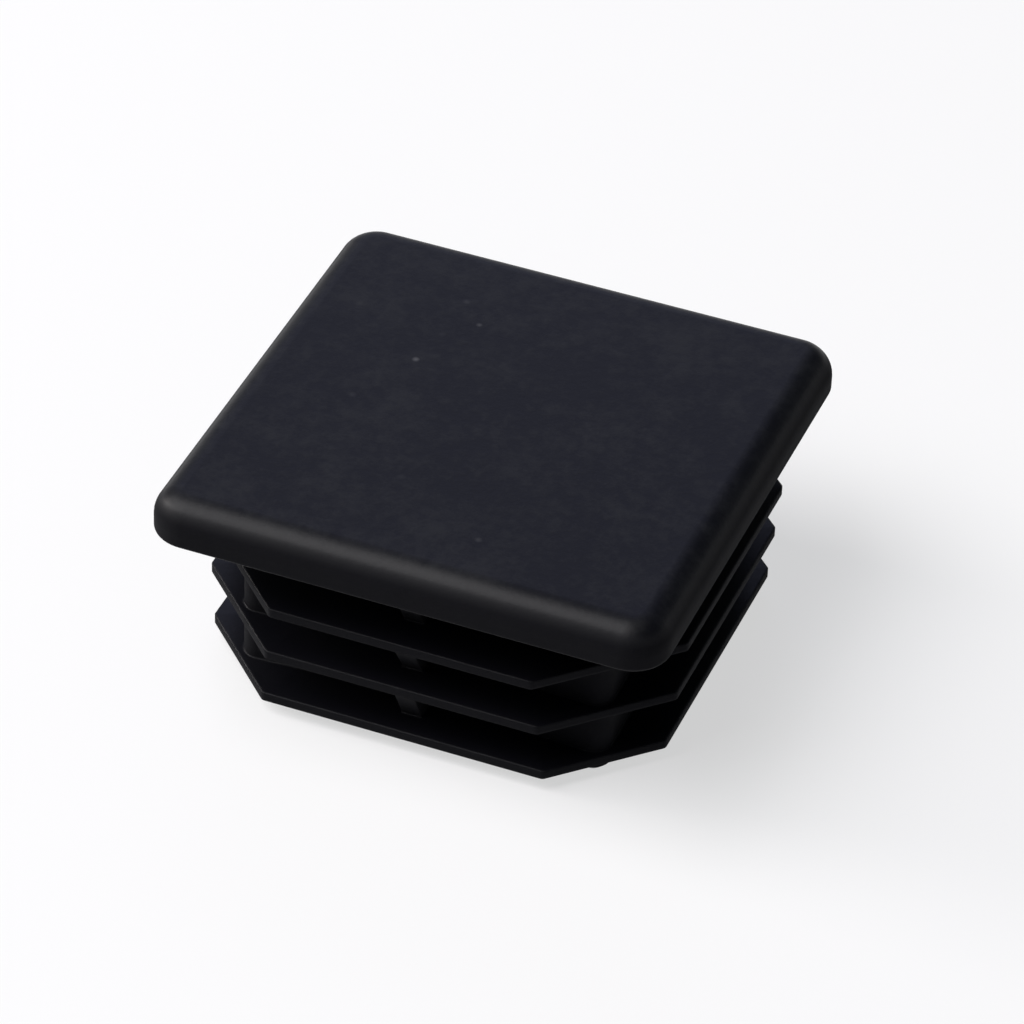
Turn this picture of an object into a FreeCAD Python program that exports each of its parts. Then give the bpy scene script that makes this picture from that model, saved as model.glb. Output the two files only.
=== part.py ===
import FreeCAD, Part
import os
import Sketcher

# A square push-in cap that closes the end of a 40 x 40 mm square tube.
# One moulding: a flat head, a hollow core under it, and three thin ribs round the core
# that bend a little as the cap is pushed in and so hold it in the bore.
# Millimetres. +Z points out of the tube. The origin is at the middle of the core's rim,
# the face that the loose cap stands on.

doc = FreeCAD.newDocument("TubeEndCap")

SIZES = {
    # the tube that it closes
    "tube_wall": 1.5,
    # head
    "head_width": 40.0,
    "head_thickness": 3.5,
    "head_corner_rounding": 3.0,
    "head_edge_rounding": 2.2,
    "head_rim_rounding": 0.4,
    # ribs: the first is the one nearest to the head
    "rib_count": 3,
    "rib_pitch": 4.4,
    "rib_grip": 0.5,
    "rib_taper": 0.45,
    "rib_depth": 4.4,
    "rib_tip": 0.7,
    "rib_root": 1.2,
    "rib_corner_rounding": 0.5,
    # core
    "core_corner_rounding": 1.4,
    "corner_lip": 0.6,
    "nose_length": 1.6,
    "nose_chamfer": 0.5,
    # webs in the middle of each side
    "web_thickness": 1.6,
    "web_setback": 0.3,
    "web_foot": 1.2,
    # hollow under the head
    "wall": 2.0,
    "roof": 2.4,
    "hollow_draft": 0.5,
    "hollow_corner_rounding": 1.0,
    "hollow_roof_rounding": 1.0,
    # how far one form runs into the next, where they are moulded as one
    "overlap": 0.5,
}

SIDES = 4
NEAR = 1e-3

sheet = doc.addObject("Spreadsheet::Sheet", "Sizes")
for row, (name, number) in enumerate(SIZES.items(), start=1):
    sheet.set("A%d" % row, name)
    sheet.set("B%d" % row, str(number))
    sheet.setAlias("B%d" % row, name)
doc.recompute()

# Formulas that more than one form uses, all from the sheet's sizes.
RIB_REACH = "((Sizes.head_width - 2 * Sizes.tube_wall) / 2 + Sizes.rib_grip)"
CORE_HALF = "(%s - Sizes.rib_depth)" % RIB_REACH
CORNER_REACH = "(%s * sqrt(2) - (sqrt(2) - 1) * Sizes.core_corner_rounding + Sizes.corner_lip)" % CORE_HALF
SEAT_LEVEL = "(floor(Sizes.rib_count) * Sizes.rib_pitch + Sizes.nose_length)"

cap = doc.addObject("PartDesign::Body", "ribbed_end_cap")
cap.Label = "ribbed_end_cap"


def number_of(formula):
    return float(sheet.evalExpression(formula.replace("Sizes.", "")))


def outline(body, name, plane, level, loops):
    """A sketch of closed straight-sided loops, each corner placed by two bound dimensions."""
    sketch = body.newObject("Sketcher::SketchObject", name)
    support = [part for part in body.Origin.OriginFeatures if part.Role == plane]
    sketch.AttachmentSupport = [(support[0], "")]
    sketch.MapMode = "FlatFace"
    sketch.setExpression("AttachmentOffset.Base.z", level)
    for loop in loops:
        places = [FreeCAD.Vector(number_of(x), number_of(y), 0) for x, y in loop]
        first = sketch.GeometryCount
        for start, end in zip(places, places[1:] + places[:1]):
            sketch.addGeometry(Part.LineSegment(start, end), False)
        for index, (x, y) in enumerate(loop):
            line = first + index
            after = first + (index + 1) % len(loop)
            sketch.addConstraint(Sketcher.Constraint("Coincident", line, 2, after, 1))
            for kind, formula, place in (("DistanceX", x, places[index].x), ("DistanceY", y, places[index].y)):
                bound = sketch.addConstraint(Sketcher.Constraint(kind, -1, 1, line, 1, place))
                sketch.setExpression("Constraints[%d]" % bound, formula)
    return sketch


def square(half):
    return [("-" + half, "-" + half), (half, "-" + half), (half, half), ("-" + half, half)]


def octagon(flat, corner):
    """A square of half-width flat whose corners are cut at the distance corner from the axis."""
    end = "(sqrt(2) * %s - %s)" % (corner, flat)
    right = [(end, "-" + flat), (flat, "-" + end), (flat, end), (end, flat)]
    return right + [("-" + x, y) for x, y in reversed(right)]


def pad(body, name, sketch, length, side="One side"):
    feature = body.newObject("PartDesign::Pad", name)
    feature.Profile = sketch
    feature.SideType = side
    feature.setExpression("Length", length)
    doc.recompute()
    return feature


def round_edges(body, name, radius, wanted):
    """A fillet on the edges of the body so far that pass the test."""
    base = body.Tip
    feature = body.newObject("PartDesign::Fillet", name)
    feature.Base = (base, edges_where(base, wanted))
    feature.setExpression("Radius", radius)
    doc.recompute()
    return feature


def edges_where(feature, wanted):
    """Names of the edges whose start, end and middle pass the test."""
    found = []
    for index, edge in enumerate(feature.Shape.Edges, start=1):
        points = [edge.valueAt(edge.FirstParameter), edge.valueAt(edge.LastParameter)]
        points.append(edge.valueAt((edge.FirstParameter + edge.LastParameter) / 2))
        if wanted(points):
            found.append("Edge%d" % index)
    return found


def faces_where(feature, wanted):
    """Names of the faces whose bounding box passes the test."""
    faces = enumerate(feature.Shape.Faces, start=1)
    return ["Face%d" % index for index, face in faces if wanted(face.BoundBox)]


def upright(points):
    run = points[1] - points[0]
    return abs(run.z) > 0.9 * run.Length > 0


def level(points):
    return max(point.z for point in points) - min(point.z for point in points) < NEAR


def at_level(points, height):
    return all(abs(point.z - height) < NEAR for point in points)


# Core: a square post with rounded corners, bevelled at the rim that enters the tube first.
seat = number_of(SEAT_LEVEL)
pad(cap, "core", outline(cap, "core_outline", "XY_Plane", "0", [square(CORE_HALF)]), SEAT_LEVEL)
round_edges(cap, "core_corners", "Sizes.core_corner_rounding", upright)
nose = cap.newObject("PartDesign::Chamfer", "nose")
nose.Base = (doc.core_corners, edges_where(doc.core_corners, lambda points: at_level(points, 0)))
nose.setExpression("Size", "Sizes.nose_chamfer")
doc.recompute()

# Head: covers the wall of the tube. Its top edge is generously rounded, its rim only broken.
HEAD_HALF = "(Sizes.head_width / 2)"
top = seat + SIZES["head_thickness"]
between = (number_of(CORE_HALF) + number_of(HEAD_HALF)) / 2
head_outline = outline(cap, "head_outline", "XY_Plane", SEAT_LEVEL, [square(HEAD_HALF)])
pad(cap, "head", head_outline, "Sizes.head_thickness")
round_edges(
    cap,
    "head_corners",
    "Sizes.head_corner_rounding",
    lambda points: upright(points) and min(point.z for point in points) > seat - NEAR,
)
round_edges(cap, "head_edge", "Sizes.head_edge_rounding", lambda points: at_level(points, top))
round_edges(
    cap,
    "head_rim",
    "Sizes.head_rim_rounding",
    lambda points: at_level(points, seat) and max(abs(points[0].x), abs(points[0].y)) > between,
)

# Ribs: each an octagon, thinner at its tip than at its root, and each a little smaller than
# the one above it, so that the cap finds its way into the tube. The cut corners stay in line.
ribs = []
rib_levels = []
rib_reaches = []
for index in range(int(SIZES["rib_count"])):
    name = "rib_%d" % (index + 1)
    rib_level = "(%s - %d * Sizes.rib_pitch)" % (SEAT_LEVEL, index + 1)
    reach = "(%s - %d * Sizes.rib_taper)" % (RIB_REACH, index)
    rib = doc.addObject("PartDesign::Body", name)
    shape = outline(rib, name + "_outline", "XY_Plane", rib_level, [octagon(reach, CORNER_REACH)])
    blank = pad(rib, name + "_blank", shape, "Sizes.rib_root", "Symmetric")
    slopes = rib.newObject("PartDesign::Chamfer", name + "_slopes")
    slopes.Base = (blank, edges_where(blank, level))
    slopes.ChamferType = "Two distances"
    slopes.setExpression("Size", "(Sizes.rib_root - Sizes.rib_tip) / 2")
    slopes.setExpression("Size2", "%s - %s + Sizes.overlap" % (reach, CORE_HALF))
    doc.recompute()
    round_edges(rib, name + "_corners", "Sizes.rib_corner_rounding", upright)
    ribs.append(rib)
    rib_levels.append(rib_level)
    rib_reaches.append(reach)
ribbed = cap.newObject("PartDesign::Boolean", "ribbed")
ribbed.Type = "Fuse"
ribbed.Group = ribs
doc.recompute()

# Webs: in the middle of each side a slanted gusset runs from the tip of one rib in to a foot on
# the next, near the core, and from the seat to the first rib.
web_loops = []
upper_levels = ["(%s + Sizes.overlap)" % SEAT_LEVEL] + rib_levels[:-1]
upper_reaches = rib_reaches[:1] + rib_reaches[:-1]
for upper, reach, lower in zip(upper_levels, upper_reaches, rib_levels):
    outer = "-(%s - Sizes.web_setback)" % reach
    inner = "-(%s - Sizes.overlap)" % CORE_HALF
    foot = "-(%s + Sizes.web_foot)" % CORE_HALF
    web_loops.append([(outer, upper), (inner, upper), (inner, lower), (foot, lower)])
pad(cap, "web", outline(cap, "web_outline", "YZ_Plane", "0", web_loops), "Sizes.web_thickness", "Symmetric")
webs = cap.newObject("PartDesign::PolarPattern", "webs")
webs.Originals = [doc.web]
webs.Axis = ([part for part in cap.Origin.OriginFeatures if part.Role == "Z_Axis"][0], [""])
webs.Angle = 360
webs.Occurrences = SIDES
cap.Tip = webs
doc.recompute()

# Hollow: open at the rim, drafted so that the cap leaves its mould, and carried up into the
# head so that no part of the moulding is much thicker than the rest.
HOLLOW_HALF = "(%s - Sizes.wall)" % CORE_HALF
before = cap.Shape.Volume
hollow = cap.newObject("PartDesign::Pocket", "hollow")
hollow.Profile = outline(cap, "hollow_outline", "XY_Plane", "0", [square(HOLLOW_HALF)])
hollow.Reversed = True
hollow.setExpression("Length", "%s + Sizes.head_thickness - Sizes.roof" % SEAT_LEVEL)
doc.recompute()
draft = cap.newObject("PartDesign::Draft", "hollow_walls")
draft.Base = (hollow, faces_where(hollow, lambda box: box.ZMin < NEAR and box.ZMax > seat + NEAR))
draft.NeutralPlane = (hollow, faces_where(hollow, lambda box: box.ZMax < NEAR))
draft.Reversed = True
draft.setExpression("Angle", "Sizes.hollow_draft")
doc.recompute()
hollow_half = number_of(HOLLOW_HALF)
roof_level = top - SIZES["roof"]


def in_hollow(points):
    return max(max(abs(point.x), abs(point.y)) for point in points) < hollow_half + NEAR


round_edges(
    cap,
    "hollow_corners",
    "Sizes.hollow_corner_rounding",
    lambda points: upright(points) and in_hollow(points),
)
round_edges(
    cap,
    "hollow_roof",
    "Sizes.hollow_roof_rounding",
    lambda points: at_level(points, roof_level) and in_hollow(points),
)
print("cut by the hollow:", round(before - cap.Shape.Volume), "mm3")

for item in doc.Objects:
    if "Invalid" in item.State or "Error" in item.State:
        raise RuntimeError("%s was not built: %s" % (item.Name, item.State))
if cap.Shape.isNull() or not cap.Shape.isValid() or len(cap.Shape.Solids) != 1:
    raise RuntimeError("the cap is not one sound solid")

os.makedirs("parts", exist_ok=True)
cap.Shape.exportStep("parts/%s.step" % cap.Label)
print(cap.Label, cap.Shape.BoundBox, round(cap.Shape.Volume), "mm3", len(cap.Shape.Faces), "faces")
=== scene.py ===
from math import pi, radians

import bpy
from mathutils import Euler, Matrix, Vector


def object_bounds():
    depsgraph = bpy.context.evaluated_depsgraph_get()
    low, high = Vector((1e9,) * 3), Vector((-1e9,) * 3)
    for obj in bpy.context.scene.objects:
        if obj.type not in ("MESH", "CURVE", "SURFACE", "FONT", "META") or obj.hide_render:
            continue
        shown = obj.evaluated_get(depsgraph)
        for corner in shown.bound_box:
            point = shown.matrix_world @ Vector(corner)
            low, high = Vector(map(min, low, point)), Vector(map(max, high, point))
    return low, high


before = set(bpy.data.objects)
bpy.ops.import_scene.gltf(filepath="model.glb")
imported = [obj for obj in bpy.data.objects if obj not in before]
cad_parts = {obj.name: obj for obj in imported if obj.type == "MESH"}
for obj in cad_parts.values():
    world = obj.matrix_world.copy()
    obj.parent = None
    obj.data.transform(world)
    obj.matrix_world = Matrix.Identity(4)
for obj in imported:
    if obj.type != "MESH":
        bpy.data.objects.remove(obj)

cad_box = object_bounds()

# The cap: one injection moulding in black polyethylene, so it is a single piece.
# Its finely spark-eroded mould leaves a soft sheen on flat faces and a duller one on steep ones.
# Edges are slightly broken. A thin film of dust lies on the head, with a few grains.
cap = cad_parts["ribbed_end_cap"]
head_top = cad_box[1][2]


class Value:
    """A number that changes over the surface: arithmetic on it adds the Math nodes."""

    def __init__(self, shader, socket):
        self.shader = shader
        self.socket = socket

    def math(self, operation, *terms, clamp=False):
        settings = {"operation": operation, "use_clamp": clamp}
        return self.shader.node("ShaderNodeMath", settings, dict(enumerate(terms)))

    def __add__(self, other):
        return self.math("ADD", self, other)

    def __sub__(self, other):
        return self.math("SUBTRACT", self, other)

    def __rsub__(self, other):
        return self.math("SUBTRACT", other, self)

    def __mul__(self, other):
        return self.math("MULTIPLY", self, other)

    __radd__ = __add__
    __rmul__ = __mul__

    def between(self, low, high):
        """0 up to low, 1 from high on, and straight in between."""
        return self.math("MULTIPLY", self - low, 1 / (high - low), clamp=True)


class Shader:
    """The node tree of one material."""

    def __init__(self, name):
        self.material = bpy.data.materials.new(name)
        self.material.use_nodes = True
        self.tree = self.material.node_tree
        self.surface = self.tree.nodes["Principled BSDF"]

    def node(self, kind, settings, inputs, output=0):
        """Adds a node: its settings first, then a number, colour or link for each socket."""
        node = self.tree.nodes.new(kind)
        for name, setting in settings.items():
            setattr(node, name, setting)
        self.fill(node, inputs)
        return Value(self, node.outputs[output])

    def fill(self, node, inputs):
        """Gives each of those sockets its number, colour or link."""
        for name, value in inputs.items():
            if isinstance(value, Value):
                self.tree.links.new(value.socket, node.inputs[name])
            else:
                node.inputs[name].default_value = value

    def noise(self, place, size, detail=2.0, roughness=0.5):
        """Soft noise from 0 to 1 whose features are about size metres across."""
        inputs = {"Vector": place, "Scale": 1 / size, "Detail": detail, "Roughness": roughness}
        return self.node("ShaderNodeTexNoise", {}, inputs)

    def mix(self, factor, low, high):
        """A colour that goes from low to high as factor goes from 0 to 1."""
        inputs = {0: factor, 6: low, 7: high}
        return self.node("ShaderNodeMix", {"data_type": "RGBA"}, inputs, output=2)


def moulded_plastic():
    mm = 0.001
    black = (0.0014, 0.0014, 0.0030, 1)
    dusty_black = (0.0076, 0.0078, 0.0092, 1)
    grain_grey = (0.09, 0.09, 0.095, 1)
    fallen_grains = (  # x, y and radius in mm, then how much of it shows
        (-8.5, 4.2, 0.34, 0.70),
        (-5.8, 10.2, 0.28, 0.42),
        (4.0, -14.2, 0.34, 0.24),
        (-7.8, 12.6, 0.36, 0.17),
        (-11.1, -1.8, 0.38, 0.14),
        (-15.1, 9.1, 0.34, 0.08),
        (-7.9, 8.0, 0.34, 0.08),
        (-3.9, -9.6, 0.40, 0.08),
    )
    shader = Shader("moulded_plastic")
    place = shader.node("ShaderNodeTexCoord", {}, {}, output="Object")
    facing = shader.node("ShaderNodeTexCoord", {}, {}, output="Normal")
    level = shader.node("ShaderNodeSeparateXYZ", {}, {"Vector": place}, output="Z")
    upward = shader.node("ShaderNodeSeparateXYZ", {}, {"Vector": facing}, output="Z")

    # The film of dust: a fine grain, a mottle, and patches a third as wide as the head.
    grain = shader.noise(place, 0.9 * mm, detail=3, roughness=0.8)
    mottle = shader.noise(place, 3.5 * mm, detail=3, roughness=0.6)
    patches = shader.noise(place, 12 * mm, detail=1)
    film = grain * 0.45 + mottle * 0.35 + patches * 0.20

    # Dust lies on the head only, down to where its edge turns over.
    on_head = level.between(head_top - 1.2 * mm, head_top - 0.2 * mm)
    colour = shader.mix(film.between(0.45, 0.60) * on_head, black, dusty_black)
    for x, y, radius, showing in fallen_grains:
        ends = {0: place, 1: (x * mm, y * mm, head_top)}
        away = shader.node("ShaderNodeVectorMath", {"operation": "DISTANCE"}, ends, output="Value")
        spot = 1 - away.between(0.1 * radius * mm, radius * mm)
        colour = shader.mix(spot * showing, colour, grain_grey)

    # Steep means more than about 70 degrees from level, and flat less than about 40.
    steep = 1 - (upward * upward).between(0.12, 0.56)
    sheen_roughness = 0.38
    dust_roughness = film * 0.14
    steep_roughness = steep * 0.50
    broken_edges = shader.node("ShaderNodeBevel", {"samples": 6}, {"Radius": 0.3 * mm})
    relief = {"Height": film, "Strength": 0.20, "Distance": 0.2 * mm, "Normal": broken_edges}
    shader.fill(shader.surface, {
        "Base Color": colour,
        "Roughness": sheen_roughness + dust_roughness + steep_roughness,
        "Normal": shader.node("ShaderNodeBump", {}, relief),
        "IOR": 1.21,
        "Specular IOR Level": 1.0,
    })
    return shader.material


cap.data.materials.clear()
cap.data.materials.append(moulded_plastic())

# The stage: a round floor of plain white studio paper under the cap, and a low screen of the same
# paper that stands round its edge, so that the cap is seen against paper from low down too.
stage_reach = 2.5
screen_height = 0.27
bpy.ops.object.select_all(action="DESELECT")
bpy.ops.mesh.primitive_circle_add(
    vertices=96, radius=stage_reach, fill_type="NGON", location=(0, 0, cad_box[0][2])
)
floor = bpy.context.object
floor.name = "floor"
bpy.ops.mesh.primitive_cylinder_add(
    vertices=96,
    radius=stage_reach,
    depth=screen_height,
    end_fill_type="NOTHING",
    location=(0, 0, cad_box[0][2] + screen_height / 2),
)
screen = bpy.context.object
screen.name = "screen"


def studio_paper():
    """White where it is looked at, by a part that the lamps light and a part that glows."""
    shader = Shader("studio_paper")
    seen = shader.node("ShaderNodeLightPath", {}, {}, output="Is Camera Ray")
    seen += shader.node("ShaderNodeLightPath", {}, {}, output="Is Glossy Ray")
    seen += shader.node("ShaderNodeLightPath", {}, {}, output="Is Transmission Ray")
    unlit = (0, 0, 0, 1)
    grey = (0.25, 0.25, 0.25, 1)
    lit_part = (0.35, 0.35, 0.35, 1)
    glow = (0.60, 0.60, 0.60, 1)
    shader.fill(shader.surface, {
        "Base Color": shader.mix(seen, grey, lit_part),
        "Emission Color": shader.mix(seen, unlit, glow),
        "Emission Strength": 1.0,
        "Roughness": 1.0,
        "Specular IOR Level": 0.0,
    })
    return shader.material


paper = studio_paper()
floor.data.materials.append(paper)
screen.data.materials.append(paper)

# The lamps: three soft boxes, each a metre from the top of the head. The white one hangs nearly
# overhead, a little to the front left. A cool and weak one stands low behind, and a small warm one
# low on the left.
aimed_at = Vector((0, 0, head_top))
lamp_distance = 1.0


def soft_box(name, direction, width, height, radiance, colour):
    """A lamp of that radiance (1 lights a white face facing it as white, if it fills the sky)."""
    lamp = bpy.data.lights.new(name, "AREA")
    lamp.shape = "RECTANGLE"
    lamp.size = width
    lamp.size_y = height
    lamp.energy = radiance * pi * width * height
    lamp.color = colour
    stand = bpy.data.objects.new(name, lamp)
    towards = Vector(direction).normalized()
    stand.location = aimed_at + lamp_distance * towards
    stand.rotation_euler = towards.to_track_quat("Z", "Y").to_euler()
    bpy.context.scene.collection.objects.link(stand)


soft_box("overhead_box", (-0.46, -0.27, 0.84), 0.90, 0.80, 5.0, (1.0, 0.98, 1.0))
soft_box("back_box", (-0.33, 0.74, 0.44), 0.58, 0.46, 1.27, (0.57, 0.60, 0.88))
soft_box("left_box", (-0.92, -0.08, 0.35), 0.36, 0.40, 12.0, (1.0, 0.96, 0.94))

# The studio's own faint and cool light, from all round.
studio = bpy.data.worlds.new("studio")
studio.use_nodes = True
bpy.context.scene.world = studio
studio_light = studio.node_tree.nodes["Background"]
studio_light.inputs["Color"].default_value = (0.72, 0.83, 1.0, 1)
studio_light.inputs["Strength"].default_value = 0.10
bpy.context.scene.view_settings.view_transform = "Standard"

# The camera: a long lens that looks down on the cap from its front right, as in the photograph.
# Angles are in degrees and distances in metres, but the lens and its sensor are in millimetres.
azimuth = 20.34
elevation = 37.72
roll = 2.34
camera_distance = 0.4186
looks_at = Vector((0.002538, -0.003560, 0.012843))
eye = bpy.data.cameras.new("camera")
eye.lens = 199.5
eye.sensor_width = 36.0
camera = bpy.data.objects.new("camera", eye)
turn = Euler((0, 0, radians(azimuth))).to_matrix()
turn = turn @ Euler((radians(90 - elevation), 0, 0)).to_matrix()
turn = turn @ Euler((0, 0, radians(roll))).to_matrix()
camera.location = looks_at + turn @ Vector((0, 0, camera_distance))
camera.rotation_euler = turn.to_euler()
bpy.context.scene.collection.objects.link(camera)
bpy.context.scene.camera = camera
